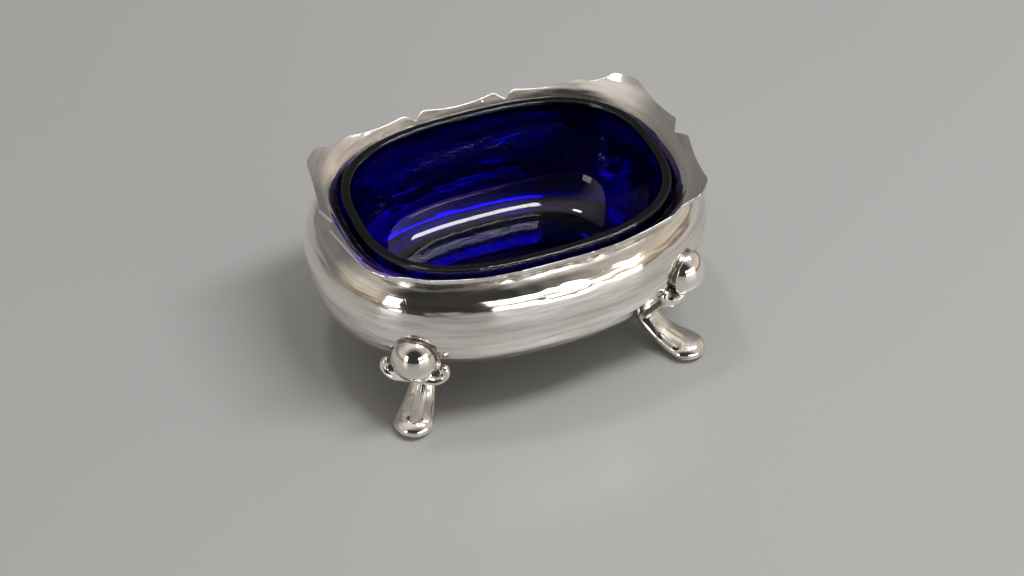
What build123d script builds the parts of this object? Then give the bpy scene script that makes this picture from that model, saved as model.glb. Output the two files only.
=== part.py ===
from build123d import *
import math
import os

# Open salt cellar: a bulging oval bowl with a shaped, flared lip on four cast feet, and a loose glass liner.
# Millimetres. The origin is on the table under the middle of the bowl: X runs along it, Y across it, Z is up.
# Every plan outline is a superellipse with a half length, a half width and a squareness.
# A squareness of 2 is an ellipse, and more fills out the corners.

# Glass liner
LINER_HALF_LENGTH = 34.0
LINER_HALF_WIDTH = 24.8
LINER_SQUARENESS = 2.7
LINER_RIM_HEIGHT = 37.0
LINER_DRAW_IN = 8.5  # how much smaller the base is than the rim, all round
LINER_WALL = 2.0
LINER_FLOOR = 4.0
LINER_RIM_BEVEL = 0.35

# Bowl
SHEET = 0.9
LINER_CLEARANCE = 0.6  # all round, between the liner's rim and the neck
BELLY_HALF_LENGTH = 42.8
BELLY_HALF_WIDTH = 31.5
BELLY_SQUARENESS = 2.3
BELLY_HEIGHT = 24.6  # height of the widest ring
BELLY_DRAW_IN = 9.1  # from the widest ring in to the edge of the flat base
BELLY_TURN = 63.0  # angle that the profile turns through from the widest ring to the base
BASE_HEIGHT = 9.5
SHOULDER_TURN = 67.0  # angle that the profile turns through from the widest ring to the neck
NECK_HEIGHT = 34.8

# Lip: a trumpet flare above the neck, cut to a wavy outline
FLARE_RADIUS = 13.4
FLARE_START = 55.0  # slope of the flare at the neck
FLARE_END = 11.0  # slope of the flare where the blank sheet ends
BUMP_ROUND = 0.7

# Lip outline over one quarter: station from the bowl's end (0) to its long side (90), reach beyond the neck
END_NOTCH = (0.0, 3.6)
END_BUMP = (2.5, 5.4)
END_DIP = (14.0, 4.65)
CORNER_TIP = (27.9, 6.5)
CORNER_BUMP = (38.3, 6.1)
CORNER_DIP = (44.2, 3.8)
QUARTER_BUMP = (52.1, 3.85)
SIDE_DIP = (65.8, 2.2)
OUTER_BUMP = (76.5, 2.5)
SIDE_NOTCH = (79.4, 1.2)
INNER_BUMP = (82.7, 2.5)
MIDDLE_DIP = (90.0, 1.7)

# Foot: reaches are measured outwards from under the belly's widest ring
FOOT_TURN = 33.0  # from the Y axis to the way a foot points
TOE_REACH = 1.3
TOE_HALF_WIDTH = 4.3
TOE_CROWN = 2.2  # half height of the toe's full round
TOE_HEIGHT = 3.9
ANKLE_REACH = -9.3
ANKLE_DROP = 3.6  # ankle's middle below the flat base
ANKLE_HALF_WIDTH = 2.8
ANKLE_HALF_DEPTH = 2.0
LEG_LIFT = 0.6  # arch of the leg's underside above the table, halfway along
ARCH_WAIST = 0.1  # how much the leg is hollowed in, each side, halfway along
KNUCKLE_REACH = -0.2  # reach of the knuckle's flat back
KNUCKLE_DROP = 4.0  # knuckle's middle below the widest ring
KNUCKLE_RADIUS = 4.8
KNUCKLE_CROWN = 3.5  # rise of the knuckle's domed face
HEEL_HALF_WIDTH = 2.1  # half width of the shell where it grows out of the ankle
SHELL_TURNS = (47.0, 35.0)  # angles down the belly's profile that the shell follows
SHELL_RELIEF = 1.2  # shell's face proud of the belly
SHELL_HALF_WIDTH = 6.6
SHELL_DEPTH = 4.5  # from the shell's face back into the seat
SHELL_EDGE = 1.2  # thickness of the shell at its upper edge
SHELL_CROWN = 1.3
RIB_COUNT = 5
RIB_HEIGHT = 0.6
RIB_FADE = 2.5  # power by which the ribs die away towards the ankle
ROLL_REACH = 0.4  # bar below the knuckle that carries the ears
ROLL_RADIUS = 1.1
EAR_SPAN = 6.0  # from the foot's middle to each ear
EAR_RADIUS = 1.8
EAR_LENGTH = 2.8
EAR_RISE = 0.6

QUARTER_STEPS = 6  # steps that each quarter of an oval is drawn in

neck_half_length = LINER_HALF_LENGTH + LINER_CLEARANCE
neck_half_width = LINER_HALF_WIDTH + LINER_CLEARANCE
floor_height = BASE_HEIGHT + SHEET


def signed_power(value, exponent):
    return math.copysign(abs(value) ** exponent, value)


def outline_point(half_length, half_width, squareness, station):
    """Point of a superellipse at a station angle, in degrees."""
    angle = math.radians(station)
    x = half_length * signed_power(math.cos(angle), 2 / squareness)
    y = half_width * signed_power(math.sin(angle), 2 / squareness)
    return x, y


def oval(half_length, half_width, squareness, height):
    """Closed superellipse wire at a height: one quarter, mirrored twice."""
    points = []
    for step in range(QUARTER_STEPS + 1):
        station = 45 * (1 - math.cos(math.pi * step / QUARTER_STEPS))
        x, y = outline_point(half_length, half_width, squareness, station)
        points.append((x, y, height))
    right_back = Spline(*points, tangents=((0, 1, 0), (-1, 0, 0)))
    left_back = right_back.mirror(Plane.YZ)
    return Wire([right_back, left_back, left_back.mirror(Plane.XZ), right_back.mirror(Plane.XZ)])


def raised_block(face, rise):
    """The prism above a flat top face."""
    return extrude(face, rise, dir=(0, 0, 1))


def belly_inset(turn):
    """Inset from the widest ring and height below it, at an angle down the lower profile."""
    share = (1 - math.cos(math.radians(turn))) / (1 - math.cos(math.radians(BELLY_TURN)))
    drop = math.sin(math.radians(turn)) / math.sin(math.radians(BELLY_TURN))
    return BELLY_DRAW_IN * share, (BELLY_HEIGHT - BASE_HEIGHT) * drop


def belly_solid(inset):
    """Solid of the bowl from base to neck, drawn in from the outer face by a sheet thickness."""
    wires = []
    lower_turns = [BELLY_TURN * part for part in (1, 0.75, 0.5, 0.25, 0)]
    for turn in lower_turns:
        draw_in, drop = belly_inset(turn)
        shrink = draw_in + inset * math.cos(math.radians(turn))
        height = BELLY_HEIGHT - drop + inset * math.sin(math.radians(turn))
        if turn == BELLY_TURN:
            height = BASE_HEIGHT + inset
        wires.append(oval(BELLY_HALF_LENGTH - shrink, BELLY_HALF_WIDTH - shrink, BELLY_SQUARENESS, height))
    upper_turns = [SHOULDER_TURN * part for part in (0.3, 0.55, 0.78, 1)]
    for turn in upper_turns:
        share = (1 - math.cos(math.radians(turn))) / (1 - math.cos(math.radians(SHOULDER_TURN)))
        rise = math.sin(math.radians(turn)) / math.sin(math.radians(SHOULDER_TURN))
        half_length = BELLY_HALF_LENGTH + share * (neck_half_length + SHEET - BELLY_HALF_LENGTH)
        half_width = BELLY_HALF_WIDTH + share * (neck_half_width + SHEET - BELLY_HALF_WIDTH)
        squareness = BELLY_SQUARENESS + share * (LINER_SQUARENESS - BELLY_SQUARENESS)
        sideways = inset * (share + (1 - share) * math.cos(math.radians(turn)))
        downwards = inset * (1 - share) * math.sin(math.radians(turn))
        height = BELLY_HEIGHT + rise * (NECK_HEIGHT - BELLY_HEIGHT) - downwards
        wires.append(oval(half_length - sideways, half_width - sideways, squareness, height))
    return Solid.make_loft(wires)


def flare_solid(thickness):
    """Solid inside the flare's upper face, or inside its under face when given a sheet thickness."""
    wires = []
    stations = (0, 0.2, 0.4, 0.6, 0.8, 1)
    for part in stations:
        slope = math.radians(FLARE_START + part * (FLARE_END - FLARE_START))
        reach = FLARE_RADIUS * (math.sin(math.radians(FLARE_START)) - math.sin(slope))
        rise = FLARE_RADIUS * (math.cos(slope) - math.cos(math.radians(FLARE_START)))
        lean = math.radians(90 + part * (FLARE_END - 90))
        grow = reach + thickness * math.sin(lean)
        height = NECK_HEIGHT + rise - thickness * math.cos(lean)
        wires.append(oval(neck_half_length + grow, neck_half_width + grow, LINER_SQUARENESS, height))
    flare = Solid.make_loft(wires)
    top = flare.faces().sort_by(Axis.Z)[-1]
    return flare + raised_block(top, FLARE_RADIUS)


def lip_outline():
    """Face of the lip's wavy plan outline."""

    def at(place, x_side, y_side):
        station, reach = place
        x, y = outline_point(neck_half_length + reach, neck_half_width + reach, LINER_SQUARENESS, station)
        return x * x_side, y * y_side

    edges = []
    for x_side, y_side in ((1, 1), (-1, 1), (-1, -1), (1, -1)):
        arcs = [
            (END_BUMP, END_DIP, CORNER_TIP),
            (CORNER_BUMP, CORNER_DIP, QUARTER_BUMP),
            (QUARTER_BUMP, SIDE_DIP, OUTER_BUMP),
        ]
        for start, middle, end in arcs:
            edges.append(ThreePointArc(*[at(place, x_side, y_side) for place in (start, middle, end)]))
        lines = [
            (END_NOTCH, END_BUMP),
            (CORNER_TIP, CORNER_BUMP),
            (OUTER_BUMP, SIDE_NOTCH),
            (SIDE_NOTCH, INNER_BUMP),
        ]
        for start, end in lines:
            edges.append(Line(at(start, x_side, y_side), at(end, x_side, y_side)))
    for y_side in (1, -1):
        middle = at(MIDDLE_DIP, 1, y_side)
        edges.append(ThreePointArc(at(INNER_BUMP, -1, y_side), middle, at(INNER_BUMP, 1, y_side)))
    outline = make_face(edges)
    places = (END_BUMP, CORNER_TIP, CORNER_BUMP, QUARTER_BUMP, OUTER_BUMP, INNER_BUMP)
    bumps = [at(place, x, y) for place in places for x in (1, -1) for y in (1, -1)]
    corners = [outline.vertices().sort_by_distance(bump)[0] for bump in bumps]
    return fillet(corners, BUMP_ROUND)


def make_bowl(outer_belly):
    """Raised sheet bowl: belly, base, neck and shaped lip in one piece."""
    cavity = belly_solid(SHEET)
    lip_blank = flare_solid(SHEET) - flare_solid(0)
    lip_top = NECK_HEIGHT + FLARE_RADIUS
    cutter = extrude(Pos(0, 0, NECK_HEIGHT) * lip_outline(), lip_top - NECK_HEIGHT)
    lip = lip_blank & cutter
    return (outer_belly - cavity) + lip


def make_liner():
    """Loose glass cup with a thick floor and a bevelled rim."""

    def cup(half_length, half_width, draw_in, bottom):
        wires = []
        for turn in (90, 75, 55, 30, 0):
            inset = draw_in * (1 - math.cos(math.radians(turn)))
            height = LINER_RIM_HEIGHT - (LINER_RIM_HEIGHT - bottom) * math.sin(math.radians(turn))
            wires.append(oval(half_length - inset, half_width - inset, LINER_SQUARENESS, height))
        return Solid.make_loft(wires)

    outside = cup(LINER_HALF_LENGTH, LINER_HALF_WIDTH, LINER_DRAW_IN, floor_height)
    hollow_length = LINER_HALF_LENGTH - LINER_WALL
    hollow_width = LINER_HALF_WIDTH - LINER_WALL
    inside = cup(hollow_length, hollow_width, LINER_DRAW_IN, floor_height + LINER_FLOOR)
    glass = outside - inside
    rim = glass.faces().sort_by(Axis.Z)[-1]
    return chamfer(rim.edges(), LINER_RIM_BEVEL)


def foot_plane():
    """Frame of the front right foot: local Y points outwards from under the widest ring, Z is up."""
    fullness = 2 - 2 / BELLY_SQUARENESS
    ratio = math.tan(math.radians(FOOT_TURN)) * BELLY_HALF_LENGTH / BELLY_HALF_WIDTH
    station = math.degrees(math.atan2(1, ratio ** (1 / fullness)))
    x, y = outline_point(BELLY_HALF_LENGTH, BELLY_HALF_WIDTH, BELLY_SQUARENESS, station)
    outwards = Vector(math.sin(math.radians(FOOT_TURN)), -math.cos(math.radians(FOOT_TURN)), 0)
    return Plane(origin=(x, -y, 0), x_dir=outwards.rotate(Axis.Z, -90), z_dir=(0, 0, 1))


def make_leg():
    """Drop-shaped toe, arched leg and bent ankle: oval sections from the toe's tip up to the seat."""
    toe_middle = TOE_HEIGHT - TOE_CROWN
    ankle_height = BASE_HEIGHT - ANKLE_DROP
    stations = []
    for share in (0.96, 0):
        round_off = math.sqrt(1 - share * share)
        reach = TOE_REACH + TOE_HALF_WIDTH * share
        stations.append((reach, toe_middle, TOE_HALF_WIDTH * round_off, TOE_CROWN * round_off, 180))
    arch_reach = (ANKLE_REACH + TOE_REACH) / 2
    arch_half_width = (ANKLE_HALF_WIDTH + TOE_HALF_WIDTH) / 2 - ARCH_WAIST
    stations.append((arch_reach, ANKLE_HALF_DEPTH + LEG_LIFT, arch_half_width, ANKLE_HALF_DEPTH, 165))
    bend = ANKLE_HALF_DEPTH / 2
    stations.append((ANKLE_REACH + bend, ankle_height - bend, ANKLE_HALF_WIDTH, ANKLE_HALF_DEPTH, 135))
    stations.append((ANKLE_REACH, ankle_height + bend, ANKLE_HALF_WIDTH, ANKLE_HALF_DEPTH, 90))
    stations.append((ANKLE_REACH + bend, BASE_HEIGHT, ANKLE_HALF_WIDTH, ANKLE_HALF_DEPTH, 60))
    sections = []
    for reach, height, half_width, half_depth, heading in stations:
        along = Vector(0, math.cos(math.radians(heading)), math.sin(math.radians(heading)))
        frame = Plane(origin=(0, reach, height), x_dir=(1, 0, 0), z_dir=along)
        sections.append(frame * Ellipse(half_width, half_depth))
    return split(loft(sections), bisect_by=Plane.XY, keep=Keep.TOP)


def shell_section(frame, half_width, depth, growth):
    """Closed section of the shell: a crowned row of ribs in front, square at the back."""
    crown = SHELL_CROWN * growth
    rib_height = RIB_HEIGHT * growth ** RIB_FADE

    def face_at(share, lift):
        return half_width * share, crown * (1 - share * share) + lift

    edges = []
    for rib in range(RIB_COUNT):
        start = -1 + 2 * rib / RIB_COUNT
        end = -1 + 2 * (rib + 1) / RIB_COUNT
        arc = ThreePointArc(face_at(start, 0), face_at((start + end) / 2, rib_height), face_at(end, 0))
        edges.append(arc)
    back = Polyline((half_width, 0), (half_width, -depth), (-half_width, -depth), (-half_width, 0))
    return frame * make_face(edges + back.edges())


def make_shell():
    """Fluted shell that fans from the ankle up the belly to the knuckle."""
    heel_depth = ANKLE_HALF_DEPTH
    places = [(ANKLE_REACH + heel_depth / 2, BASE_HEIGHT - ANKLE_DROP)]
    for turn in SHELL_TURNS:
        inset, drop = belly_inset(turn)
        angle = math.radians(turn)
        reach = -inset + SHELL_RELIEF * math.cos(angle)
        places.append((reach, BELLY_HEIGHT - drop - SHELL_RELIEF * math.sin(angle)))
    knuckle_foot = BELLY_HEIGHT - KNUCKLE_DROP - KNUCKLE_RADIUS
    places.append((ROLL_REACH + ROLL_RADIUS, knuckle_foot))
    path = Spline(*[(0, reach, height) for reach, height in places])
    depths = {0: heel_depth, 0.3: SHELL_DEPTH, 0.6: SHELL_DEPTH, 0.82: SHELL_DEPTH / 2, 1: SHELL_EDGE}
    sections = []
    for part, depth in depths.items():
        along = path % part
        outward = Vector(0, along.Z, -along.Y)
        frame = Plane(origin=path @ part, x_dir=(1, 0, 0), z_dir=Vector(1, 0, 0).cross(outward))
        half_width = HEEL_HALF_WIDTH + part * (SHELL_HALF_WIDTH - HEEL_HALF_WIDTH)
        sections.append(shell_section(frame, half_width, depth, half_width / SHELL_HALF_WIDTH))
    return loft(sections, ruled=True)


def make_knuckle():
    """Flat-backed domed knuckle over a bar that ends in a scroll ear on each side."""
    middle_height = BELLY_HEIGHT - KNUCKLE_DROP
    ball_radius = (KNUCKLE_RADIUS ** 2 + KNUCKLE_CROWN ** 2) / (2 * KNUCKLE_CROWN)
    ball = Pos(0, KNUCKLE_REACH + KNUCKLE_CROWN - ball_radius, middle_height) * Sphere(ball_radius)
    back = Plane(origin=(0, KNUCKLE_REACH, middle_height), x_dir=(1, 0, 0), z_dir=(0, 1, 0))
    dome = split(ball, bisect_by=back, keep=Keep.TOP)
    roll_height = middle_height - KNUCKLE_RADIUS + ROLL_RADIUS / 2
    roll = Rot(0, 90, 0) * Cylinder(ROLL_RADIUS, 2 * EAR_SPAN)
    ear = Rot(90, 0, 0) * Cylinder(EAR_RADIUS, EAR_LENGTH)
    knuckle = dome + Pos(0, ROLL_REACH, roll_height) * roll
    for side in (-1, 1):
        knuckle = knuckle + Pos(side * EAR_SPAN, ROLL_REACH, roll_height + EAR_RISE) * ear
    return knuckle


def make_foot(outer_belly):
    """One cast foot, front right, seated on the belly's outer face."""
    casting = make_leg() + make_shell() + make_knuckle()
    return foot_plane().location * casting - outer_belly


def main():
    outer_belly = belly_solid(0)
    foot = make_foot(outer_belly)
    pieces = {
        "bowl": make_bowl(outer_belly),
        "foot_front_right": foot,
        "foot_front_left": mirror(foot, about=Plane.YZ),
        "foot_back_right": mirror(foot, about=Plane.XZ),
        "foot_back_left": mirror(mirror(foot, about=Plane.YZ), about=Plane.XZ),
        "glass_liner": make_liner(),
    }
    os.makedirs("parts", exist_ok=True)
    for name, piece in pieces.items():
        export_step(piece, f"parts/{name}.step")


main()
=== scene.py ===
import math

import bpy
import numpy as np
from mathutils import Matrix, Vector, kdtree


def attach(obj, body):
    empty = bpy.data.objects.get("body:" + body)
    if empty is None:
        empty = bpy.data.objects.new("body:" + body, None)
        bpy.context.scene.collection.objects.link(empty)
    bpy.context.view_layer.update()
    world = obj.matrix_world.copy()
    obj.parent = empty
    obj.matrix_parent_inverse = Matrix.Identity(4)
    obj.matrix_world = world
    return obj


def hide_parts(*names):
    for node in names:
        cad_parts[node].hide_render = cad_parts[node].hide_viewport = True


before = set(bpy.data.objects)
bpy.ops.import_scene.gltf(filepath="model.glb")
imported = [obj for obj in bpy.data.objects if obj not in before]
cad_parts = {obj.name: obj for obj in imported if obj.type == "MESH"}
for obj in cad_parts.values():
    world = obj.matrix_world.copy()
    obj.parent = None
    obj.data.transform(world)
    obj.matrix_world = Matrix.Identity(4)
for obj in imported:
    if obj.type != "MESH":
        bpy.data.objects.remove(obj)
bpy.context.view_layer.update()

scene = bpy.context.scene
MM = 0.001

# Sizes in millimetres and degrees, as in the part's source

LINER_HALF_LENGTH = 34.0
LINER_HALF_WIDTH = 24.8
LINER_RIM_HEIGHT = 37.0
LINER_DRAW_IN = 8.5
LINER_WALL = 2.0
LINER_FLOOR = 4.0
LINER_CLEARANCE = 0.6
SHEET = 0.9
NECK_HALF_LENGTH = LINER_HALF_LENGTH + LINER_CLEARANCE
NECK_HALF_WIDTH = LINER_HALF_WIDTH + LINER_CLEARANCE
NECK_SQUARENESS = 2.7
NECK_HEIGHT = 34.8
BELLY_HALF_LENGTH = 42.8
BELLY_HALF_WIDTH = 31.5
BELLY_SQUARENESS = 2.3
BELLY_HEIGHT = 24.6
BELLY_DRAW_IN = 9.1
BELLY_TURN = 63.0
SHOULDER_TURN = 67.0
BASE_HEIGHT = 9.5
FLARE_RADIUS = 13.4
FLARE_START = 55.0
FLARE_END = 11.0
FOOT_TURN = 33.0
TOE_REACH = 1.3
TOE_HALF_WIDTH = 4.3
TOE_CROWN = 2.2
TOE_HEIGHT = 3.9
ANKLE_HALF_WIDTH = 2.8
ANKLE_HALF_DEPTH = 2.0
KNUCKLE_DROP = 4.0
KNUCKLE_HEIGHT = BELLY_HEIGHT - KNUCKLE_DROP
KNUCKLE_RADIUS = 4.8
KNUCKLE_CROWN = 3.5
HEEL_HALF_WIDTH = 2.1
SHELL_CROWN = 1.3

# Lip outline over one quarter, as in the part's source: station angle and reach beyond the neck

END_NOTCH = (0.0, 3.6)
END_BUMP = (2.5, 5.4)
END_DIP = (14.0, 4.65)
CORNER_TIP = (27.9, 6.5)
CORNER_BUMP = (38.3, 6.1)
CORNER_DIP = (44.2, 3.8)
QUARTER_BUMP = (52.1, 3.85)
SIDE_DIP = (65.8, 2.2)
OUTER_BUMP = (76.5, 2.5)
SIDE_NOTCH = (79.4, 1.2)
INNER_BUMP = (82.7, 2.5)
MIDDLE_DIP = (90.0, 1.7)

# Forms that are finer than the part's or differ from it, in millimetres

LIP_SOFTNESS = (0.0, 0.7, 1.3, 1.3, 1.0, 0.7, 0.16, 0.7, 0.0)  # how far from each corner its rounding starts
LIP_EDGE_ROUND = 0.12
RIM_ROUND = 0.6
WELL_DRAW_IN = 10.8
LINER_SEAT_GAP = 0.06  # between the liner's base and the bowl's floor
FOOT_SEAT_DEPTH = 0.25  # how far a foot goes into the belly
LEG_WAIST = (-4.0, 2.6, 3.45, 2.0)  # outwards, height, half width and half depth
ANKLE_BEND = ((-8.3, 4.9), (-9.3, 6.9), (-8.3, 9.5))  # outwards and height
LEG_GROOVE_DEPTH = 0.1  # depth of the groove down each flank, as a share of the leg
LEG_GROOVE_TURN = math.radians(14)
LEG_GROOVE_WIDTH = 0.17
SHELL_PATH = (  # outwards, height and share of the knuckle's lift
    (-8.3, 5.9, 0.0), (-4.48, 11.33, 0.3), (-2.03, 14.19, 0.7), (0.3, 15.6, 1.0),
)
SHELL_HALF_WIDTH = 6.0
SHELL_DEPTH = 4.2
SHELL_EDGE = 1.1
SHELL_TAPER = 0.8  # share of the relief that is gone at the upper edge
SHELL_BACK = 0.97  # width of the shell's back, as a share of its front
RIB_COUNT = 7
RIB_HEIGHT = 0.8
RIB_SINK = 0.2
RIB_FADE = 1.5
KNUCKLE_REACH = 0.7
KNUCKLE_NECK = 4.7  # length of the neck from the dome back into the belly
KNUCKLE_TALLNESS = 1.08
KNUCKLE_NECK_SHARES = (0.7, 0.84)  # radius of the knuckle's neck at the belly and under the dome
DOME_OVERHANG = 0.3
EAR_KNOTS = (  # sideways, outwards, height and radius
    (0.0, 0.5, 16.2, 1.15), (1.6, 0.5, 15.9, 1.15), (3.2, 0.3, 15.5, 1.1), (4.6, 0.0, 15.4, 1.05),
    (5.9, -0.4, 16.0, 1.0), (6.6, -0.7, 17.1, 0.95), (6.3, -0.8, 18.2, 0.85), (5.5, -0.7, 18.4, 0.7),
)
EAR_WIDTH, EAR_DEPTH = 1.1, 0.9
CURL_KNOTS = ((3.4, -0.4, 14.6, 1.2), (4.5, -1.4, 14.5, 1.1), (5.2, -2.3, 14.4, 0.9))

# Feet: side to the right, side to the front, and the knuckle's lift, since the castings were fitted by hand

FEET = {
    "foot_front_right": (1, 1, 1.5),
    "foot_front_left": (-1, 1, -2.4),
    "foot_back_right": (1, -1, 0.0),
    "foot_back_left": (-1, -1, 0.0),
}

# Fineness of the meshes

OUTLINE_STEP = 0.55  # between points of the lip's outline
LEAST_REACH, MOST_REACH, HALVINGS = -1.0, 9.0, 50
FLARE_STEPS = 60
CORNER_SHARES = (0.17, 0.33, 0.5, 0.67, 0.83)
BASE_SHARES = (0.3, 0.6, 0.85, 0.975, 0.993)
FLOOR_SHARES = (0.85, 0.6, 0.3)
UNDER_SHARES = (0.12, 0.25, 0.4, 0.55, 0.7, 0.85, 0.96, 1.0)
EDGE_SHARES = (0.35, 0.75, 1.0)
TOP_SHARES = (1.0, 0.96, 0.88, 0.78, 0.68, 0.58, 0.48, 0.38, 0.28, 0.18, 0.09, 0.0)
LINER_BASE_SHARES = (0.3, 0.6, 0.85, 0.97)
LINER_QUARTER = 44  # points in a quarter of a ring
RIM_STEP = 15  # degrees between rings round the rim's edges
TOE_SHARES = (0.999, 0.96, 0.85, 0.5, 0.0)
THINNEST = 0.02  # least half width of the leg, at the toe's tip
RIB_COLUMNS = 18  # points across each rib
DOME_STEPS = 30
DOME_COLUMNS = 64
VOXEL = 0.18  # size of the cells that a foot's forms are melted in
POLISH_FACTOR = 0.5
POLISH_ROUNDS = 5


# Rings and closed meshes


def signed_power(value, exponent):
    """Power of the value's size that keeps its sign."""
    return np.copysign(np.abs(value) ** exponent, value)


def oval_points(half_length, half_width, squareness, stations):
    """Points of a superellipse at station angles in radians."""
    x = half_length * signed_power(np.cos(stations), 2 / squareness)
    y = half_width * signed_power(np.sin(stations), 2 / squareness)
    return x, y


def ring(half_length, half_width, squareness, height, stations):
    """Points of an oval ring, one for each station."""
    x, y = oval_points(half_length, half_width, squareness, stations)
    return np.stack([x, y, np.broadcast_to(height, x.shape)], axis=1)


def disc_rings(row, shares, stations):
    """Rings of a flat disc inside the oval of a profile's row, at shares of its size."""
    length, width, squareness, height = row
    return [ring(length * share, width * share, squareness, height, stations) for share in shares]


def new_object(name, vertices, faces):
    """Smooth-shaded object from vertices in millimetres."""
    mesh = bpy.data.meshes.new(name)
    mesh.from_pydata([tuple(v) for v in np.asarray(vertices) * MM], [], faces)
    mesh.validate()
    for polygon in mesh.polygons:
        polygon.use_smooth = True
    piece = bpy.data.objects.new(name, mesh)
    scene.collection.objects.link(piece)
    return piece


def ring_faces(rows, columns):
    """Quads between successive closed rings of vertices."""
    faces = []
    for row in range(rows - 1):
        low = row * columns
        high = low + columns
        for column in range(columns):
            after = (column + 1) % columns
            faces.append((low + column, low + after, high + after, high + column))
    return faces


def closed_mesh(name, rings, bottom, top):
    """Closed mesh of stacked rings with a fan to a middle point at each end."""
    columns = len(rings[0])
    vertices = np.concatenate(rings + [np.array([bottom, top])])
    faces = ring_faces(len(rings), columns)
    bottom_point = len(rings) * columns
    top_point = bottom_point + 1
    last_ring = bottom_point - columns
    for column in range(columns):
        after = (column + 1) % columns
        faces.append((bottom_point, after, column))
        faces.append((top_point, last_ring + column, last_ring + after))
    return new_object(name, vertices, faces)


# Lip outline


def lip_point(place):
    """Point of the lip's outline at a station angle and a reach beyond the neck."""
    angle, reach = place
    station = math.radians(angle)
    x, y = oval_points(NECK_HALF_LENGTH + reach, NECK_HALF_WIDTH + reach, NECK_SQUARENESS, station)
    return np.array([float(x), float(y)])


def straight_run(start, end):
    """Straight line as a function of the share of its length, and its length."""
    length = np.linalg.norm(end - start)
    return lambda part: start + (end - start) * part, length


def arc_run(start, middle, end):
    """Arc through three points as a function of the share of its length, and its length."""
    ax, ay = start
    bx, by = middle
    cx, cy = end
    a, b, c = ax**2 + ay**2, bx**2 + by**2, cx**2 + cy**2
    d = 2 * (ax * (by - cy) + bx * (cy - ay) + cx * (ay - by))
    ux = (a * (by - cy) + b * (cy - ay) + c * (ay - by)) / d
    uy = (a * (cx - bx) + b * (ax - cx) + c * (bx - ax)) / d
    centre = np.array([ux, uy])
    radius = np.linalg.norm(start - centre)
    first = math.atan2(ay - uy, ax - ux)
    mid = math.remainder(math.atan2(by - uy, bx - ux) - first, 2 * math.pi)
    sweep = math.remainder(math.atan2(cy - uy, cx - ux) - first, 2 * math.pi)
    if abs(mid) > abs(sweep):
        sweep -= math.copysign(2 * math.pi, sweep)

    def at(part):
        angle = first + sweep * part
        return centre + radius * np.array([math.cos(angle), math.sin(angle)])

    return at, abs(sweep) * radius


def quarter_runs():
    """Lines and arcs of the lip's outline from the end notch to the middle of the side."""
    far_inner = lip_point(INNER_BUMP) * np.array([-1, 1])
    side_arc, side_length = arc_run(lip_point(INNER_BUMP), lip_point(MIDDLE_DIP), far_inner)
    return [
        straight_run(lip_point(END_NOTCH), lip_point(END_BUMP)),
        arc_run(lip_point(END_BUMP), lip_point(END_DIP), lip_point(CORNER_TIP)),
        straight_run(lip_point(CORNER_TIP), lip_point(CORNER_BUMP)),
        arc_run(lip_point(CORNER_BUMP), lip_point(CORNER_DIP), lip_point(QUARTER_BUMP)),
        arc_run(lip_point(QUARTER_BUMP), lip_point(SIDE_DIP), lip_point(OUTER_BUMP)),
        straight_run(lip_point(OUTER_BUMP), lip_point(SIDE_NOTCH)),
        straight_run(lip_point(SIDE_NOTCH), lip_point(INNER_BUMP)),
        (lambda part: side_arc(part / 2), side_length / 2),
    ]


def quarter_outline():
    """Points of the lip's outline over one quarter, with softened corners."""
    runs = quarter_runs()
    points = []
    for index, (at, length) in enumerate(runs):
        start = LIP_SOFTNESS[index] / length
        soft_end = LIP_SOFTNESS[index + 1]
        end = 1 - soft_end / length
        steps = max(3, int(length * (end - start) / OUTLINE_STEP))
        for step in range(steps + 1):
            points.append(at(start + (end - start) * step / steps))
        if soft_end > 0:
            before = at(end)
            corner = at(1.0)
            next_at, next_length = runs[index + 1]
            after = next_at(soft_end / next_length)
            for part in CORNER_SHARES:
                points.append((1 - part) ** 2 * before + 2 * part * (1 - part) * corner + part**2 * after)
    return np.array(points)


def whole_outline():
    """Points of the lip's outline all round."""
    quarter = quarter_outline()
    half = np.concatenate([quarter, quarter[-2::-1] * np.array([-1, 1])])
    return np.concatenate([half, half[-2:0:-1] * np.array([1, -1])])


def reach_and_station(outline):
    """Reach of the oval through each point, found by halving, and the point's station on it."""
    low = np.full(len(outline), LEAST_REACH)
    high = np.full(len(outline), MOST_REACH)
    for _ in range(HALVINGS):
        middle = (low + high) / 2
        level = (np.abs(outline[:, 0]) / (NECK_HALF_LENGTH + middle)) ** NECK_SQUARENESS
        level += (np.abs(outline[:, 1]) / (NECK_HALF_WIDTH + middle)) ** NECK_SQUARENESS
        low = np.where(level > 1, middle, low)
        high = np.where(level > 1, high, middle)
    reach = (low + high) / 2
    across = signed_power(outline[:, 1] / (NECK_HALF_WIDTH + reach), NECK_SQUARENESS / 2)
    along = signed_power(outline[:, 0] / (NECK_HALF_LENGTH + reach), NECK_SQUARENESS / 2)
    return reach, np.arctan2(across, along)


lip_reach, lip_station = reach_and_station(whole_outline())


# Bowl


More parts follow.
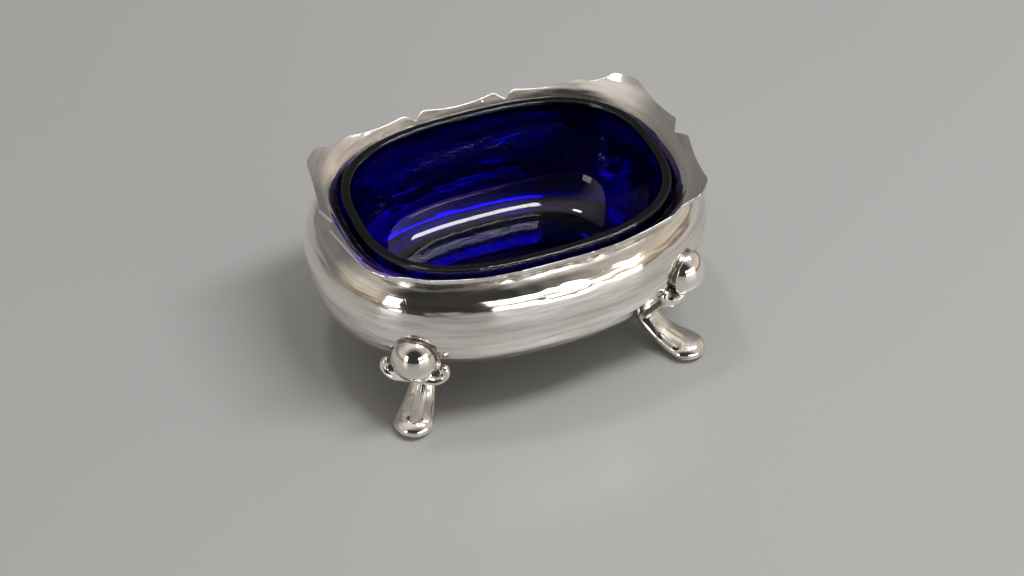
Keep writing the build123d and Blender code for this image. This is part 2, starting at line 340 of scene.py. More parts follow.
def belly_profile(inset, steps):
    """(half length, half width, squareness, height) from the base's edge up to the neck."""
    rows = []
    for step in range(steps + 1):
        turn = math.radians(BELLY_TURN * (1 - step / steps))
        share = (1 - math.cos(turn)) / (1 - math.cos(math.radians(BELLY_TURN)))
        drop = math.sin(turn) / math.sin(math.radians(BELLY_TURN))
        shrink = BELLY_DRAW_IN * share + inset * math.cos(turn)
        height = BELLY_HEIGHT - (BELLY_HEIGHT - BASE_HEIGHT) * drop + inset * math.sin(turn)
        if step == 0:
            height = BASE_HEIGHT + inset
        rows.append((BELLY_HALF_LENGTH - shrink, BELLY_HALF_WIDTH - shrink, BELLY_SQUARENESS, height))
    for step in range(1, steps + 1):
        turn = math.radians(SHOULDER_TURN * step / steps)
        share = (1 - math.cos(turn)) / (1 - math.cos(math.radians(SHOULDER_TURN)))
        rise = math.sin(turn) / math.sin(math.radians(SHOULDER_TURN))
        sideways = inset * (share + (1 - share) * math.cos(turn))
        downwards = inset * (1 - share) * math.sin(turn)
        rows.append((
            BELLY_HALF_LENGTH + share * (NECK_HALF_LENGTH + SHEET - BELLY_HALF_LENGTH) - sideways,
            BELLY_HALF_WIDTH + share * (NECK_HALF_WIDTH + SHEET - BELLY_HALF_WIDTH) - sideways,
            BELLY_SQUARENESS + share * (NECK_SQUARENESS - BELLY_SQUARENESS),
            BELLY_HEIGHT + rise * (NECK_HEIGHT - BELLY_HEIGHT) - downwards,
        ))
    return rows


def flare_top(reach):
    """Height of the flare's upper face at a reach beyond the neck."""
    start = math.radians(FLARE_START)
    slope = np.arcsin(np.clip(math.sin(start) - reach / FLARE_RADIUS, -1, 1))
    return NECK_HEIGHT + FLARE_RADIUS * (np.cos(slope) - math.cos(start))


def flare_under(reach):
    """Height of the flare's under face at a reach beyond the neck."""
    part = np.linspace(0, 1, FLARE_STEPS)
    start = math.radians(FLARE_START)
    slope = start + part * math.radians(FLARE_END - FLARE_START)
    lean = np.radians(90 + part * (FLARE_END - 90))
    reaches = FLARE_RADIUS * (math.sin(start) - np.sin(slope)) + SHEET * np.sin(lean)
    heights = NECK_HEIGHT + FLARE_RADIUS * (np.cos(slope) - math.cos(start)) - SHEET * np.cos(lean)
    return np.interp(reach, reaches, heights)


def lip_ring(reach, height):
    """Ring of the lip, with a reach and a height for each station."""
    return ring(NECK_HALF_LENGTH + reach, NECK_HALF_WIDTH + reach, NECK_SQUARENESS, height, lip_station)


def lip_rings():
    """Rings of the lip out along its under face, round its cut edge and back along its upper face."""
    rings = []
    edge = lip_reach - LIP_EDGE_ROUND
    for share in UNDER_SHARES:
        reach = SHEET + (edge - SHEET) * share
        rings.append(lip_ring(reach, flare_under(reach)))
    under_side = (flare_under(lip_reach), 1, EDGE_SHARES)
    upper_side = (flare_top(lip_reach), -1, EDGE_SHARES[::-1])
    for face, upwards, shares in (under_side, upper_side):
        for share in shares:
            turn = share * math.pi / 2
            reach = edge + LIP_EDGE_ROUND * math.sin(turn)
            rings.append(lip_ring(reach, face + upwards * LIP_EDGE_ROUND * (1 - math.cos(turn))))
    for share in TOP_SHARES:
        rings.append(lip_ring(edge * share, flare_top(edge * share)))
    return rings


outer_profile = belly_profile(0, steps=30)
inner_profile = belly_profile(SHEET, steps=16)
bowl_rings = disc_rings(outer_profile[0], BASE_SHARES, lip_station)
bowl_rings += [ring(*row, lip_station) for row in outer_profile]
neck_ring = bowl_rings[-1]
bowl_rings += lip_rings()
bowl_rings += [ring(*row, lip_station) for row in inner_profile[-2::-1]]
bowl_rings += disc_rings(inner_profile[0], FLOOR_SHARES, lip_station)
bowl = closed_mesh("bowl_silver", bowl_rings, (0, 0, BASE_HEIGHT), (0, 0, BASE_HEIGHT + SHEET))


# Glass liner


def liner_stations():
    """Station angles of the liner's rings, closer together near both axes."""
    columns = 4 * LINER_QUARTER
    warp = np.arange(columns) / columns * 4
    return np.radians(90 * np.floor(warp) + 45 * (1 - np.cos(np.pi * (warp % 1))))


def cup_profile(wall, bottom, draw_in, steps):
    """(half length, half width, squareness, height) from the edge of a cup's bottom up to its rim."""
    rows = []
    for step in range(steps + 1):
        turn = math.radians(90 * (1 - step / steps))
        inset = draw_in * (1 - math.cos(turn))
        height = LINER_RIM_HEIGHT - (LINER_RIM_HEIGHT - bottom) * math.sin(turn)
        half_length = LINER_HALF_LENGTH - wall - inset
        half_width = LINER_HALF_WIDTH - wall - inset
        rows.append((half_length, half_width, NECK_SQUARENESS, height))
    return rows


def rim_rings(stations):
    """Rings over the liner's rim, round its outer edge and then its inner one."""
    rings = []
    outer_edge = (0, 1, range(0, 91, RIM_STEP))
    inner_edge = (LINER_WALL, -1, range(90, -1, -RIM_STEP))
    for side, inwards, turns in (outer_edge, inner_edge):
        for turn in turns:
            inset = side + inwards * RIM_ROUND * (1 - math.cos(math.radians(turn)))
            height = LINER_RIM_HEIGHT - RIM_ROUND * (1 - math.sin(math.radians(turn)))
            rings.append(
                ring(LINER_HALF_LENGTH - inset, LINER_HALF_WIDTH - inset, NECK_SQUARENESS, height, stations)
            )
    return rings


def make_liner():
    """Thick cup with a rounded rim, from the middle of its base to the middle of its well."""
    stations = liner_stations()
    seat = BASE_HEIGHT + SHEET + LINER_SEAT_GAP
    well = BASE_HEIGHT + SHEET + LINER_FLOOR
    outside = cup_profile(0, seat, LINER_DRAW_IN, steps=40)
    inside = cup_profile(LINER_WALL, well, WELL_DRAW_IN, steps=60)
    top = LINER_RIM_HEIGHT - RIM_ROUND
    rings = disc_rings(outside[0], LINER_BASE_SHARES, stations)
    rings += [ring(*row, stations) for row in outside if row[3] < top]
    rings += rim_rings(stations)
    rings += [ring(*row, stations) for row in inside[::-1] if row[3] < top]
    rings += disc_rings(inside[0], LINER_BASE_SHARES[::-1], stations)
    return closed_mesh("liner_glass", rings, (0, 0, seat), (0, 0, well))


liner = make_liner()


# Forms of a foot, in the front right foot's own frame: X sideways, Y outwards, Z up


def smooth_path(knots, count):
    """Catmull-Rom curve through knots of any width."""
    knots = np.asarray(knots, float)
    padded = np.concatenate([[2 * knots[0] - knots[1]], knots, [2 * knots[-1] - knots[-2]]])
    points = []
    spans = len(knots) - 1
    for step in range(count + 1):
        place = min(step / count * spans, spans - 1e-9)
        span = int(place)
        t = place - span
        a, b, c, d = padded[span:span + 4]
        square = 2 * a - 5 * b + 4 * c - d
        cube = 3 * b - a - 3 * c + d
        points.append(0.5 * (2 * b + (c - a) * t + square * t**2 + cube * t**3))
    return np.array(points)


def heading(path, index):
    """Unit vector along a path at one of its points."""
    before = path[max(index - 1, 0)]
    after = path[min(index + 1, len(path) - 1)]
    return (after - before) / np.linalg.norm(after - before)


def tube(name, centres, half_widths, half_depths, sideways, columns, groove=0.0):
    """Closed run of oval sections along a path, wide in one direction, with a groove down each flank."""
    rings = []
    turns = np.arange(columns) * 2 * math.pi / columns
    flank = np.abs(np.sin(turns + LEG_GROOVE_TURN))
    size = 1 - groove * np.exp(-((flank / LEG_GROOVE_WIDTH) ** 2))
    for index, centre in enumerate(centres):
        along = heading(centres, index)
        wide = np.array(sideways, float)
        wide = wide - along * np.dot(wide, along)
        wide /= np.linalg.norm(wide)
        deep = np.cross(along, wide)
        spread = np.outer(np.cos(turns) * size, wide) * half_widths[index]
        spread = spread + np.outer(np.sin(turns) * size, deep) * half_depths[index]
        rings.append(centre + spread)
    return closed_mesh(name, rings, centres[0], centres[-1])


def make_leg():
    """Drop-shaped toe, arched leg and bent ankle."""
    knots = []
    for share in TOE_SHARES:
        fall = math.sqrt(1 - share * share)
        reach = TOE_REACH + TOE_HALF_WIDTH * share
        knots.append((reach, TOE_HEIGHT - TOE_CROWN, TOE_HALF_WIDTH * fall, TOE_CROWN * fall))
    knots.append(LEG_WAIST)
    for reach, height in ANKLE_BEND:
        knots.append((reach, height, ANKLE_HALF_WIDTH, ANKLE_HALF_DEPTH))
    run = smooth_path(knots, count=90)
    centres = np.stack([0 * run[:, 0], run[:, 0], run[:, 1]], axis=1)
    half_widths = np.maximum(run[:, 2], THINNEST)
    half_depths = np.maximum(run[:, 3], THINNEST)
    return tube("leg", centres, half_widths, half_depths, (1, 0, 0), columns=72, groove=LEG_GROOVE_DEPTH)


def make_shell(lift):
    """Fluted fan from the ankle up the belly to the knuckle."""
    knots = [(reach, height + share * lift) for reach, height, share in SHELL_PATH]
    path = smooth_path(knots, count=48)
    across = np.linspace(-1, 1, RIB_COLUMNS * RIB_COUNT)
    wave = np.abs(np.cos(across * math.pi * RIB_COUNT / 2))
    rings = []
    for index, (reach, height) in enumerate(path):
        part = index / (len(path) - 1)
        along = heading(path, index)
        outward = np.array([along[1], -along[0]])
        half_width = HEEL_HALF_WIDTH + part * (SHELL_HALF_WIDTH - HEEL_HALF_WIDTH)
        growth = half_width / SHELL_HALF_WIDTH
        relief = SHELL_CROWN * growth * (1 - across**2) + RIB_HEIGHT * growth**RIB_FADE * (wave - RIB_SINK)
        relief = relief * (1 - SHELL_TAPER * part**5)
        thickness = SHELL_DEPTH * (1 - part**3) * (0.5 + part) + SHELL_EDGE
        x = across * half_width
        front = np.stack([x, reach + outward[0] * relief, height + outward[1] * relief], axis=1)
        back_reach = np.full_like(x, reach - outward[0] * thickness)
        back_height = np.full_like(x, height - outward[1] * thickness)
        back = np.stack([x * SHELL_BACK, back_reach, back_height], axis=1)
        rings.append(np.concatenate([front, back[::-1]]))
    return closed_mesh("shell", rings, rings[0].mean(0), rings[-1].mean(0))


def make_dome(lift):
    """Round boss on a short neck against the belly, a little taller than wide."""
    ball = (KNUCKLE_RADIUS**2 + KNUCKLE_CROWN**2) / (2 * KNUCKLE_CROWN)
    centre = KNUCKLE_REACH + KNUCKLE_CROWN - ball
    widest = math.asin(KNUCKLE_RADIUS / ball)
    middle = KNUCKLE_HEIGHT + lift
    neck_ends = (KNUCKLE_REACH - KNUCKLE_NECK, KNUCKLE_REACH - DOME_OVERHANG)
    sections = [(y, share * KNUCKLE_RADIUS) for y, share in zip(neck_ends, KNUCKLE_NECK_SHARES)]
    for step in range(DOME_STEPS, 0, -1):
        lean = widest * step / DOME_STEPS
        sections.append((centre + ball * math.cos(lean), ball * math.sin(lean)))
    turns = np.arange(DOME_COLUMNS) * 2 * math.pi / DOME_COLUMNS
    rings = []
    for y, radius in sections:
        z = middle + KNUCKLE_TALLNESS * radius * np.sin(turns)
        rings.append(np.stack([radius * np.cos(turns), np.full_like(turns, y), z], axis=1))
    back = (0, KNUCKLE_REACH - KNUCKLE_NECK, middle)
    crown = (0, KNUCKLE_REACH + KNUCKLE_CROWN, middle)
    return closed_mesh("dome", rings, back, crown)


def scroll_run(knots, side, lift, count):
    """Middle points and radii along a scroll at one side of the foot."""
    run = smooth_path(knots, count)
    return run[:, :3] * np.array([side, 1, 1]) + np.array([0, 0, lift]), run[:, 3]


def make_ear(side, lift):
    """Scroll that leaves the roll under the dome, turns up beside it and hooks back in."""
    centres, radii = scroll_run(EAR_KNOTS, side, lift, count=70)
    return tube("ear", centres, radii * EAR_WIDTH, radii * EAR_DEPTH, (0, 1, 0), columns=28)


def make_curl(side, lift):
    """Smaller curl below the ear, nearer to the belly."""
    centres, radii = scroll_run(CURL_KNOTS, side, lift, count=30)
    return tube("curl", centres, radii, radii, (0, 0, 1), columns=24)


def melted(parts):
    """Mesh of overlapping closed parts that are joined, melted together and smoothed."""
    with bpy.context.temp_override(active_object=parts[0], selected_editable_objects=parts):
        bpy.ops.object.join()
    casting = parts[0]
    remesh = casting.modifiers.new("melt", "REMESH")
    remesh.mode = "VOXEL"
    remesh.voxel_size = VOXEL * MM
    remesh.use_smooth_shade = True
    smooth = casting.modifiers.new("polish", "SMOOTH")
    smooth.factor = POLISH_FACTOR
    smooth.iterations = POLISH_ROUNDS
    graph = bpy.context.evaluated_depsgraph_get()
    mesh = bpy.data.meshes.new_from_object(casting.evaluated_get(graph))
    bpy.data.objects.remove(casting)
    return mesh


# Seat of a foot against the belly

profile = np.array(outer_profile)


def beyond_belly(points):
    """About how far points lie outside the belly's side, less than zero inside it."""
    heights = profile[:, 3]
    height = np.clip(points[:, 2], heights[0], heights[-1])
    length, width, square = [np.interp(height, heights, profile[:, column]) for column in range(3)]
    along = (np.abs(points[:, 0]) / length) ** square
    across = (np.abs(points[:, 1]) / width) ** square
    return ((along + across) ** (1 / square) - 1) * width


def sink_into_belly(points, depth):
    """Points that lie deeper than depth inside the belly, brought out to that depth."""
    points = points.copy()
    nudge_size = 0.02
    least_slope = 0.2
    most_rounds = 14
    for _ in range(most_rounds):
        side = beyond_belly(points)
        base = BASE_HEIGHT - points[:, 2]
        inside = np.maximum(side, base) < -depth
        if not inside.any():
            break
        gradient = np.zeros_like(points)
        for axis, nudge in enumerate(np.eye(3) * nudge_size):
            change = beyond_belly(points + nudge) - beyond_belly(points - nudge)
            gradient[:, axis] = change / (2 * nudge_size)
        size = np.maximum((gradient**2).sum(1), least_slope)
        move = gradient * ((-depth - side) / size)[:, None]
        by_side = inside & (side >= base)
        by_base = inside & (side < base)
        points[by_side] += move[by_side]
        points[by_base, 2] = BASE_HEIGHT + depth
    return points


def foot_frame():
    """Origin and axes of the front right foot, where the belly's widest ring faces the way it points."""
    fullness = 2 - 2 / BELLY_SQUARENESS
    turn = math.radians(FOOT_TURN)
    ratio = math.tan(turn) * BELLY_HALF_LENGTH / BELLY_HALF_WIDTH
    station = math.atan2(1, ratio ** (1 / fullness))
    x, y = oval_points(BELLY_HALF_LENGTH, BELLY_HALF_WIDTH, BELLY_SQUARENESS, station)
    outwards = np.array([math.sin(turn), -math.cos(turn), 0])
    sideways = np.array([-math.cos(turn), -math.sin(turn), 0])
    return np.array([float(x), -float(y), 0]), np.array([sideways, outwards, [0, 0, 1]])


# Tarnish and painted shade: the share of old polish and tarnish left at each vertex, with shade painted into
# the hollows and creases

BLUR_ROUNDS, SPREAD_ROUNDS = 12, 4  # steps from vertex to vertex
TARNISH_AND_SHADE_GAIN, TARNISH_AND_SHADE_START = 9, 0.1  # how the depth of a hollow turns into tarnish and painted shade
DOME_GROOVE_BACK = 0.1  # painted shadow behind the dome starts this far behind its edge
DOME_GROOVE_SHARE = 0.95  # and ends at this share of its radius
DOME_GROOVE_BOTTOM = -3.5  # and at this height from its middle
CREASE_SPREAD = 1.3  # millimetres from the crease under the lip
SEAT_SPREAD = 0.7  # millimetres from a foot


def set_tarnish_and_shade(mesh, amounts):
    """Layer of tarnish and painted shade that the silver's material reads."""
    layer = mesh.attributes.new("tarnish_and_shade", "FLOAT", "POINT")
    layer.data.foreach_set("value", np.asarray(amounts, np.float32))


def hollowness(mesh, places):
    """How far the smoothed neighbourhood of each vertex lies outside it, in millimetres."""
    ends = np.zeros(len(mesh.edges) * 2, np.int64)
    mesh.edges.foreach_get("vertices", ends)
    first, second = ends.reshape(-1, 2).T
    normals = np.zeros(len(places) * 3)
    mesh.vertices.foreach_get("normal", normals)
    normals = normals.reshape(-1, 3)
    degree = np.bincount(ends, minlength=len(places))

    def spread(values):
        total = np.zeros_like(values)
        np.add.at(total, first, values[second])
        np.add.at(total, second, values[first])
        return total / degree.reshape((-1,) + (1,) * (values.ndim - 1))

    blurred = places
    for _ in range(BLUR_ROUNDS):
        blurred = spread(blurred)
    depth = ((blurred - places) * normals).sum(1)
    for _ in range(SPREAD_ROUNDS):
        depth = spread(depth)
    return depth


def foot_tarnish_and_shade(mesh, local, placed, lift):
    """Tarnish and painted shade in a foot's hollows, and painted shadow in the groove behind its dome."""
    # tarnish with painted shade in the foot's hollows
    tarnish_and_shade = np.clip(hollowness(mesh, placed) * TARNISH_AND_SHADE_GAIN - TARNISH_AND_SHADE_START, 0, 1)
    rise = local[:, 2] - KNUCKLE_HEIGHT - lift
    from_axis = np.hypot(local[:, 0], rise / KNUCKLE_TALLNESS)
    behind_dome = local[:, 1] < KNUCKLE_REACH - DOME_GROOVE_BACK
    near_neck = (from_axis < DOME_GROOVE_SHARE * KNUCKLE_RADIUS) & (rise > DOME_GROOVE_BOTTOM)
    # painted shadow in the groove behind the dome, where it meets the belly
    tarnish_and_shade[behind_dome & near_neck] = 1.0
    return tarnish_and_shade


def search_tree(mesh):
    """Tree that finds a mesh's nearest vertex."""
    tree = kdtree.KDTree(len(mesh.vertices))
    for vertex in mesh.vertices:
        tree.insert(vertex.co, vertex.index)
    tree.balance()
    return tree


def bowl_tarnish_and_shade(seats):
    """Tarnish and painted shade on the bowl along the crease under the lip and round the seats of the feet.
    """
    places = np.concatenate(bowl_rings)
    to_neck = np.linalg.norm(places - np.tile(neck_ring, (len(bowl_rings), 1)), axis=1)
    # tarnish with painted shade along the crease under the lip
    tarnish_and_shade = np.exp(-((to_neck / CREASE_SPREAD) ** 2))
    for index, (x, y, z) in enumerate(places):
        if BASE_HEIGHT <= z < BELLY_HEIGHT:
            node = "foot_" + ("back_" if y > 0 else "front_") + ("right" if x > 0 else "left")
            distance = seats[node].find((x * MM, y * MM, z * MM))[2] / MM
            # tarnish with painted shade round the seats of the feet
            tarnish_and_shade[index] = max(tarnish_and_shade[index], math.exp(-((distance / SEAT_SPREAD) ** 2)))
    middle_points = [0, 0]
    return np.concatenate([tarnish_and_shade, middle_points])


# Feet


def make_foot(lift):
    """Mesh of the front right foot as one casting, with its knuckle lifted."""
    parts = [make_leg(), make_shell(lift), make_dome(lift)]
    for side in (-1, 1):
        parts.append(make_ear(side, lift))
        parts.append(make_curl(side, lift))
    mesh = melted(parts)
    flat = np.zeros(len(mesh.vertices) * 3)
    mesh.vertices.foreach_get("co", flat)
    local = flat.reshape(-1, 3) / MM
    local[:, 2] = np.maximum(local[:, 2], 0)
    origin, axes = foot_frame()
    placed = sink_into_belly(origin + local @ axes, FOOT_SEAT_DEPTH)
    mesh.vertices.foreach_set("co", (placed * MM).ravel())
    mesh.update()
    set_tarnish_and_shade(mesh, foot_tarnish_and_shade(mesh, local, placed, lift))
    return mesh


def mirrored(mesh, name, x_side, y_side):
    """Object with a copy of a mesh, mirrored where a side is negative."""
    copy = mesh.copy()
    copy.name = name
    copy.transform(Matrix.Diagonal((x_side, y_side, 1, 1)))
    if x_side * y_side < 0:
        copy.flip_normals()
    for polygon in copy.polygons:
        polygon.use_smooth = True
    piece = bpy.data.objects.new(name, copy)
    scene.collection.objects.link(piece)
    return piece


castings = {}
feet = {}
for node, (x_side, y_side, lift) in FEET.items():
    if lift not in castings:
        castings[lift] = make_foot(lift)
    feet[node] = mirrored(castings[lift], "cast_" + node, x_side, y_side)
set_tarnish_and_shade(bowl.data, bowl_tarnish_and_shade({node: search_tree(foot.data) for node, foot in feet.items()}))


# Nodes that the materials share

MIX_FIRST, MIX_SECOND, MIX_RESULT = 6, 7, 2  # a Mix node's sockets for colours


def nodes_of(name):
    """New material with its node tree and its shader."""
    material = bpy.data.materials.new(name)
    material.use_nodes = True
    tree = material.node_tree
    shader = tree.nodes["Principled BSDF"]
    return material, tree, shader


def add(tree, kind, **settings):
    """New node with its inputs or properties set."""
    node = tree.nodes.new(kind)
    for key, value in settings.items():
        if key in node.inputs:
            node.inputs[key].default_value = value
        else:
            setattr(node, key, value)
    return node


def noise_of(tree, place, scale=1.0, detail=2.0, stretch=(1, 1, 1), turn=(0, 0, 0)):
    """Noise value over the object, with its grain stretched and turned."""
    grain = add(tree, "ShaderNodeMapping", Scale=stretch, Rotation=turn)
    cloud = add(tree, "ShaderNodeTexNoise", Scale=scale, Detail=detail, Roughness=0.55)
    tree.links.new(place, grain.inputs["Vector"])
    tree.links.new(grain.outputs["Vector"], cloud.inputs["Vector"])
    return cloud.outputs["Fac"]


def ranged(tree, value, low, high, to_low=0, to_high=1):
    """Value stretched from one range to another and held to its ends."""
    span = add(tree, "ShaderNodeMapRange")
    span.inputs["From Min"].default_value = low
    span.inputs["From Max"].default_value = high
    span.inputs["To Min"].default_value = to_low
    span.inputs["To Max"].default_value = to_high
    tree.links.new(value, span.inputs["Value"])
    return span.outputs["Result"]


def math_of(tree, operation, first, second):
    """Sum, product or other pairing of two values, each a number or a socket."""
    node = add(tree, "ShaderNodeMath", operation=operation)
    for socket, value in zip(node.inputs, (first, second)):
        if isinstance(value, (int, float)):
            socket.default_value = value
        else:
            tree.links.new(value, socket)
    return node.outputs["Value"]


def mixed(tree, share, first, second):
    """Colour between two, each a tuple or a socket."""
    node = add(tree, "ShaderNodeMix", data_type="RGBA")
    tree.links.new(share, node.inputs["Factor"])
    for socket, colour in ((node.inputs[MIX_FIRST], first), (node.inputs[MIX_SECOND], second)):
        if isinstance(colour, tuple):
            socket.default_value = colour
        else:
            tree.links.new(colour, socket)
    return node.outputs[MIX_RESULT]


def bumped(tree, height, distance, under=None):
    """Normal with a relief of a depth in metres, on top of another normal if there is one."""
    node = add(tree, "ShaderNodeBump", Distance=distance)
    tree.links.new(height, node.inputs["Height"])
    if under is not None:
        tree.links.new(under, node.inputs["Normal"])
    return node.outputs["Normal"]


# Silver

CLEAN_SILVER = (0.94, 0.92, 0.885, 1)
WARM_SILVER = (0.86, 0.815, 0.75, 1)
WORN_SILVER = (0.5, 0.49, 0.48, 1)
PIT_COLOUR = (0.3, 0.26, 0.22, 1)
# tarnish colour, also painted as shade in the creases, round the feet's seats and behind the domes
TARNISH_AND_SHADE_COLOUR = (0.17, 0.135, 0.105, 1)
PIT_DARKNESS, TARNISH_AND_SHADE_DARKNESS = 0.6, 0.85
HAIRLINE_ROUGHNESS, PIT_ROUGHNESS, GRIME_ROUGHNESS = 0.07, 0.3, 0.35
HAIRLINE_DEPTH, PIT_DEPTH = 0.000004, 0.00003
DENT_SHARE = 0.3  # depth of the round dents, as a share of the ripples'


def hairlines_of(tree, place):
    """Fine scratches from polishing, round the piece and across it."""
    round_noise = noise_of(tree, place, stretch=(70, 70, 3400))
    cross_noise = noise_of(tree, place, stretch=(3000, 110, 160), turn=(0.3, 0.5, 0.6))
    round_lines = ranged(tree, round_noise, low=0.60, high=0.74)
    cross_lines = ranged(tree, cross_noise, low=0.62, high=0.76)
    return math_of(tree, "MAXIMUM", round_lines, cross_lines)


def pits_of(tree, place):
    """Small pits that lie in patches."""
    cells = add(tree, "ShaderNodeTexVoronoi", Scale=620.0)
    tree.links.new(place, cells.inputs["Vector"])
    dots = ranged(tree, cells.outputs["Distance"], low=0.06, high=0.14, to_low=1, to_high=0)
    patches = ranged(tree, noise_of(tree, place, scale=160.0), low=0.52, high=0.64)
    return math_of(tree, "MULTIPLY", dots, patches)


def tarnish_and_shade_of(tree, place):
    """Tarnish and painted shade from the mesh's layer, broken up a little."""
    left = add(tree, "ShaderNodeAttribute", attribute_name="tarnish_and_shade").outputs["Fac"]
    break_noise = noise_of(tree, place, scale=420.0, detail=3.0)
    breaks = ranged(tree, break_noise, low=0.3, high=0.65, to_low=0.35)
    return math_of(tree, "MULTIPLY", left, breaks)


def silver_material(name, waviness, streaking):
    """Often polished silver with ripples, worn streaks, hairlines, pits, and tarnish with painted shade in
    the creases.
    """
    material, tree, shader = nodes_of(name)
    shader.inputs["Metallic"].default_value = 1.0
    place = add(tree, "ShaderNodeTexCoord").outputs["Object"]
    cloud = noise_of(tree, place, scale=75.0, detail=4.0)
    hairlines = hairlines_of(tree, place)
    pits = pits_of(tree, place)
    tarnish_and_shade = tarnish_and_shade_of(tree, place)

    streak_noise = noise_of(tree, place, detail=3.0, stretch=(38, 38, 620))
    streaks = ranged(tree, streak_noise, low=0.46, high=0.66, to_high=streaking)
    colour = mixed(tree, ranged(tree, cloud, low=0.35, high=0.7), CLEAN_SILVER, WARM_SILVER)
    colour = mixed(tree, streaks, colour, WORN_SILVER)
    colour = mixed(tree, math_of(tree, "MULTIPLY", pits, PIT_DARKNESS), colour, PIT_COLOUR)
    # darkens the colour with tarnish and painted shade in the creases, round the seats and behind the domes
    colour = mixed(tree, math_of(tree, "MULTIPLY", tarnish_and_shade, TARNISH_AND_SHADE_DARKNESS), colour, TARNISH_AND_SHADE_COLOUR)
    tree.links.new(colour, shader.inputs["Base Color"])

    roughness = ranged(tree, cloud, low=0.3, high=0.7, to_low=0.045, to_high=0.11)
    flaws = ((hairlines, HAIRLINE_ROUGHNESS), (pits, PIT_ROUGHNESS), (tarnish_and_shade, GRIME_ROUGHNESS))
    for flaw, amount in flaws:
        roughness = math_of(tree, "ADD", roughness, math_of(tree, "MULTIPLY", flaw, amount))
    tree.links.new(roughness, shader.inputs["Roughness"])

    normal = bumped(tree, noise_of(tree, place, stretch=(62, 62, 330)), waviness)
    normal = bumped(tree, noise_of(tree, place, scale=95.0, detail=1.0), DENT_SHARE * waviness, normal)
    normal = bumped(tree, hairlines, -HAIRLINE_DEPTH, normal)
    normal = bumped(tree, pits, -PIT_DEPTH, normal)
    tree.links.new(normal, shader.inputs["Normal"])
    return material


# Glass

GLASS_TINT = (0.8, 0.82, 1.0, 1)
GLASS_INDEX = 1.52
DEPTH_COLOUR = (0.43, 0.06, 0.85, 1)
DEPTH_DENSITY = 1250.0
DULL_FROM, DULL_TO = 0.0144, 0.0175  # heights in metres between which the well's dullness ends
GLASS_WAVINESS = 0.000006
GLASS_SCRATCH_DEPTH = 0.0000001


def glass_material():
    """Deep cobalt glass, a little wavy, with the well's floor dulled by salt and spoons."""
    material, tree, shader = nodes_of("cobalt_glass")
    shader.inputs["Base Color"].default_value = GLASS_TINT
    shader.inputs["IOR"].default_value = GLASS_INDEX
    shader.inputs["Transmission Weight"].default_value = 1.0
    place = add(tree, "ShaderNodeTexCoord").outputs["Object"]
    height = add(tree, "ShaderNodeSeparateXYZ")
    tree.links.new(place, height.inputs["Vector"])
    dull = ranged(tree, height.outputs["Z"], DULL_FROM, DULL_TO, to_low=1, to_high=0)
    haze_noise = noise_of(tree, place, scale=240.0, detail=4.0)
    haze = ranged(tree, haze_noise, low=0.3, high=0.7, to_high=0.06)
    tree.links.new(math_of(tree, "MULTIPLY", dull, haze), shader.inputs["Roughness"])
    scratch_noise = noise_of(tree, place, stretch=(2600, 120, 200), turn=(0.2, 0.1, 0.5))
    scratches = ranged(tree, scratch_noise, low=0.62, high=0.75)
    normal = bumped(tree, noise_of(tree, place, scale=60.0, detail=0.0), GLASS_WAVINESS)
    normal = bumped(tree, scratches, -GLASS_SCRATCH_DEPTH, normal)
    tree.links.new(normal, shader.inputs["Normal"])
    absorb = add(tree, "ShaderNodeVolumeAbsorption", Color=DEPTH_COLOUR, Density=DEPTH_DENSITY)
    tree.links.new(absorb.outputs["Volume"], tree.nodes["Material Output"].inputs["Volume"])
    return material


# Materials and bodies of the pieces

raised_silver = silver_material("raised_silver", waviness=0.00036, streaking=0.6)
cast_silver = silver_material("cast_silver", waviness=0.00004, streaking=0.15)
glass = glass_material()
bowl.data.materials.append(raised_silver)
for foot in feet.values():
    foot.data.materials.clear()
    foot.data.materials.append(cast_silver)
liner.data.materials.append(glass)

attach(bowl, "stand")
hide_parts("bowl")
for node, foot in feet.items():
    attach(foot, "stand")
    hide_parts(node)
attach(liner, "liner")
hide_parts("glass_liner")


# Floor

FLOOR_GREY = (0.385, 0.387, 0.387, 1)
FLOOR_ROUGHNESS = 0.33
FLOOR_CORNERS = [(-3, -3, 0), (3, -3, 0), (3, 3, 0), (-3, 3, 0)]

floor_mesh = bpy.data.meshes.new("floor")
floor_mesh.from_pydata(FLOOR_CORNERS, [], [(0, 1, 2, 3)])
floor = bpy.data.objects.new("floor", floor_mesh)
scene.collection.objects.link(floor)
floor_material, _, floor_shader = nodes_of("pale_floor")
floor_shader.inputs["Base Color"].default_value = FLOOR_GREY
floor_shader.inputs["Roughness"].default_value = FLOOR_ROUGHNESS
floor_mesh.materials.append(floor_material)


# Room: walls by height, darker behind the object, with a dark corner where the photographer stands

WALL_COLOURS = (  # by the height of the direction, from level to straight up
    (0.0, (0.2, 0.17, 0.14, 1)),
    (0.1, (0.36, 0.3, 0.24, 1)),
    (0.22, (0.72, 0.62, 0.5, 1)),
    (0.6, (0.5, 0.46, 0.42, 1)),
    (1.0, (0.74, 0.7, 0.65, 1)),
)
BACK_WALL = (0.2, 0.195, 0.19, 1)
DARK_CORNER = (0.04, 0.038, 0.036, 1)
TOWARD_CORNER = (-0.36, -0.84, 0.40)


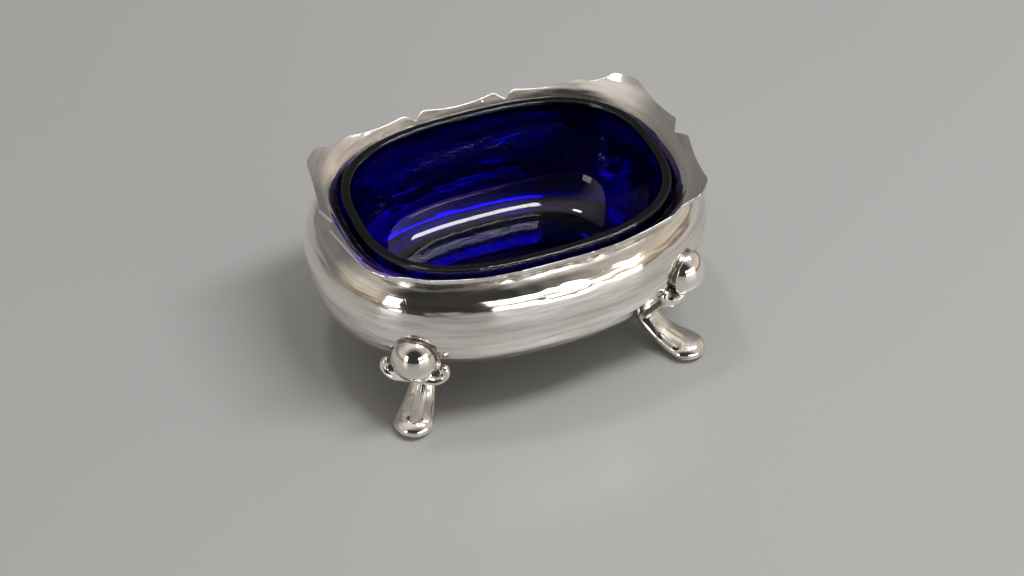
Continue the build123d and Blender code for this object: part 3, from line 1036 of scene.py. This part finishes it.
def make_room():
    """World background that the silver reflects."""
    world = bpy.data.worlds.new("studio")
    scene.world = world
    world.use_nodes = True
    tree = world.node_tree
    sky = tree.nodes["Background"]
    direction = add(tree, "ShaderNodeTexCoord").outputs["Generated"]
    split = add(tree, "ShaderNodeSeparateXYZ")
    tree.links.new(direction, split.inputs["Vector"])
    band = add(tree, "ShaderNodeValToRGB")
    elements = band.color_ramp.elements  # a new ramp has its two ends
    for position, _ in WALL_COLOURS[1:-1]:
        elements.new(position)
    for element, (_, colour) in zip(elements, WALL_COLOURS):
        element.color = colour
    tree.links.new(split.outputs["Z"], band.inputs["Fac"])
    toward = add(tree, "ShaderNodeVectorMath", operation="DOT_PRODUCT")
    tree.links.new(direction, toward.inputs[0])
    toward.inputs[1].default_value = TOWARD_CORNER
    in_corner = ranged(tree, toward.outputs["Value"], low=0.60, high=0.85)
    behind = ranged(tree, split.outputs["Y"], low=0.2, high=0.62)
    walls = mixed(tree, behind, band.outputs["Color"], BACK_WALL)
    tree.links.new(mixed(tree, in_corner, walls, DARK_CORNER), sky.inputs["Color"])
    sky.inputs["Strength"].default_value = 1.0


make_room()


# Lamps

MIDDLE = (0, 0, 0.02)
BELOW_STRIP = (0.33, -0.19, 0)
WARM_WHITE = (1.0, 0.99, 0.98)
GREEN_WHITE = (0.98, 1.0, 0.98)
WHITE = (1.0, 1.0, 1.0)


def softbox(name, place, aim, colour, width, height, power):
    """Rectangular lamp that faces a point, in metres and watts."""
    lamp = bpy.data.lights.new(name, "AREA")
    lamp.shape = "RECTANGLE"
    lamp.size = width
    lamp.size_y = height
    lamp.energy = power
    lamp.color = colour
    box = bpy.data.objects.new(name, lamp)
    box.location = place
    toward = Vector(aim) - Vector(place)
    box.rotation_euler = toward.to_track_quat("-Z", "Y").to_euler()
    scene.collection.objects.link(box)


softbox("front_upper", (0.395, -1.08, 0.41), MIDDLE, WARM_WHITE, width=1.05, height=0.23, power=1.6)
softbox("front_lower", (0.44, -1.20, 0.11), MIDDLE, WARM_WHITE, width=1.05, height=0.2, power=1.4)
softbox("left_window", (-0.95, -0.51, 0.27), MIDDLE, GREEN_WHITE, width=0.28, height=0.42, power=1.0)
softbox("top_strip", (0.33, -0.19, 0.8), BELOW_STRIP, WHITE, width=0.55, height=0.17, power=5.0)
softbox("top_square", (-0.11, 0.21, 0.84), MIDDLE, WHITE, width=0.1, height=0.1, power=1.0)


# Camera, fitted to the photograph

IMAGE_WIDTH = 1024
SENSOR_WIDTH = 36.0
FOCAL_PIXELS = 2827.7
ELEVATION = math.radians(42.15)
SWING = math.radians(22.41)
ROLL = math.radians(0.35)
DISTANCE = 0.5862
TARGET = Vector((-0.00435, -0.01383, 0.020))
UP = Vector((0, 0, 1))


def make_camera():
    """Camera that looks at the target from its distance, swung, raised and rolled."""
    camera_data = bpy.data.cameras.new("camera")
    camera_data.sensor_width = SENSOR_WIDTH
    camera_data.lens = SENSOR_WIDTH * FOCAL_PIXELS / IMAGE_WIDTH
    camera_data.clip_start = 0.01
    camera_data.clip_end = 20
    camera = bpy.data.objects.new("camera", camera_data)
    right = Vector((math.cos(SWING), -math.sin(SWING), 0))
    level_ahead = Vector((math.sin(SWING), math.cos(SWING), 0))
    ahead = level_ahead * math.cos(ELEVATION) - UP * math.sin(ELEVATION)
    upright = level_ahead * math.sin(ELEVATION) + UP * math.cos(ELEVATION)
    rolled_right = right * math.cos(ROLL) + upright * math.sin(ROLL)
    rolled_up = upright * math.cos(ROLL) - right * math.sin(ROLL)
    view = Matrix((rolled_right, rolled_up, -ahead)).transposed()
    camera.matrix_world = Matrix.Translation(TARGET - ahead * DISTANCE) @ view.to_4x4()
    scene.collection.objects.link(camera)
    return camera


scene.camera = make_camera()
scene.view_settings.view_transform = "Standard"
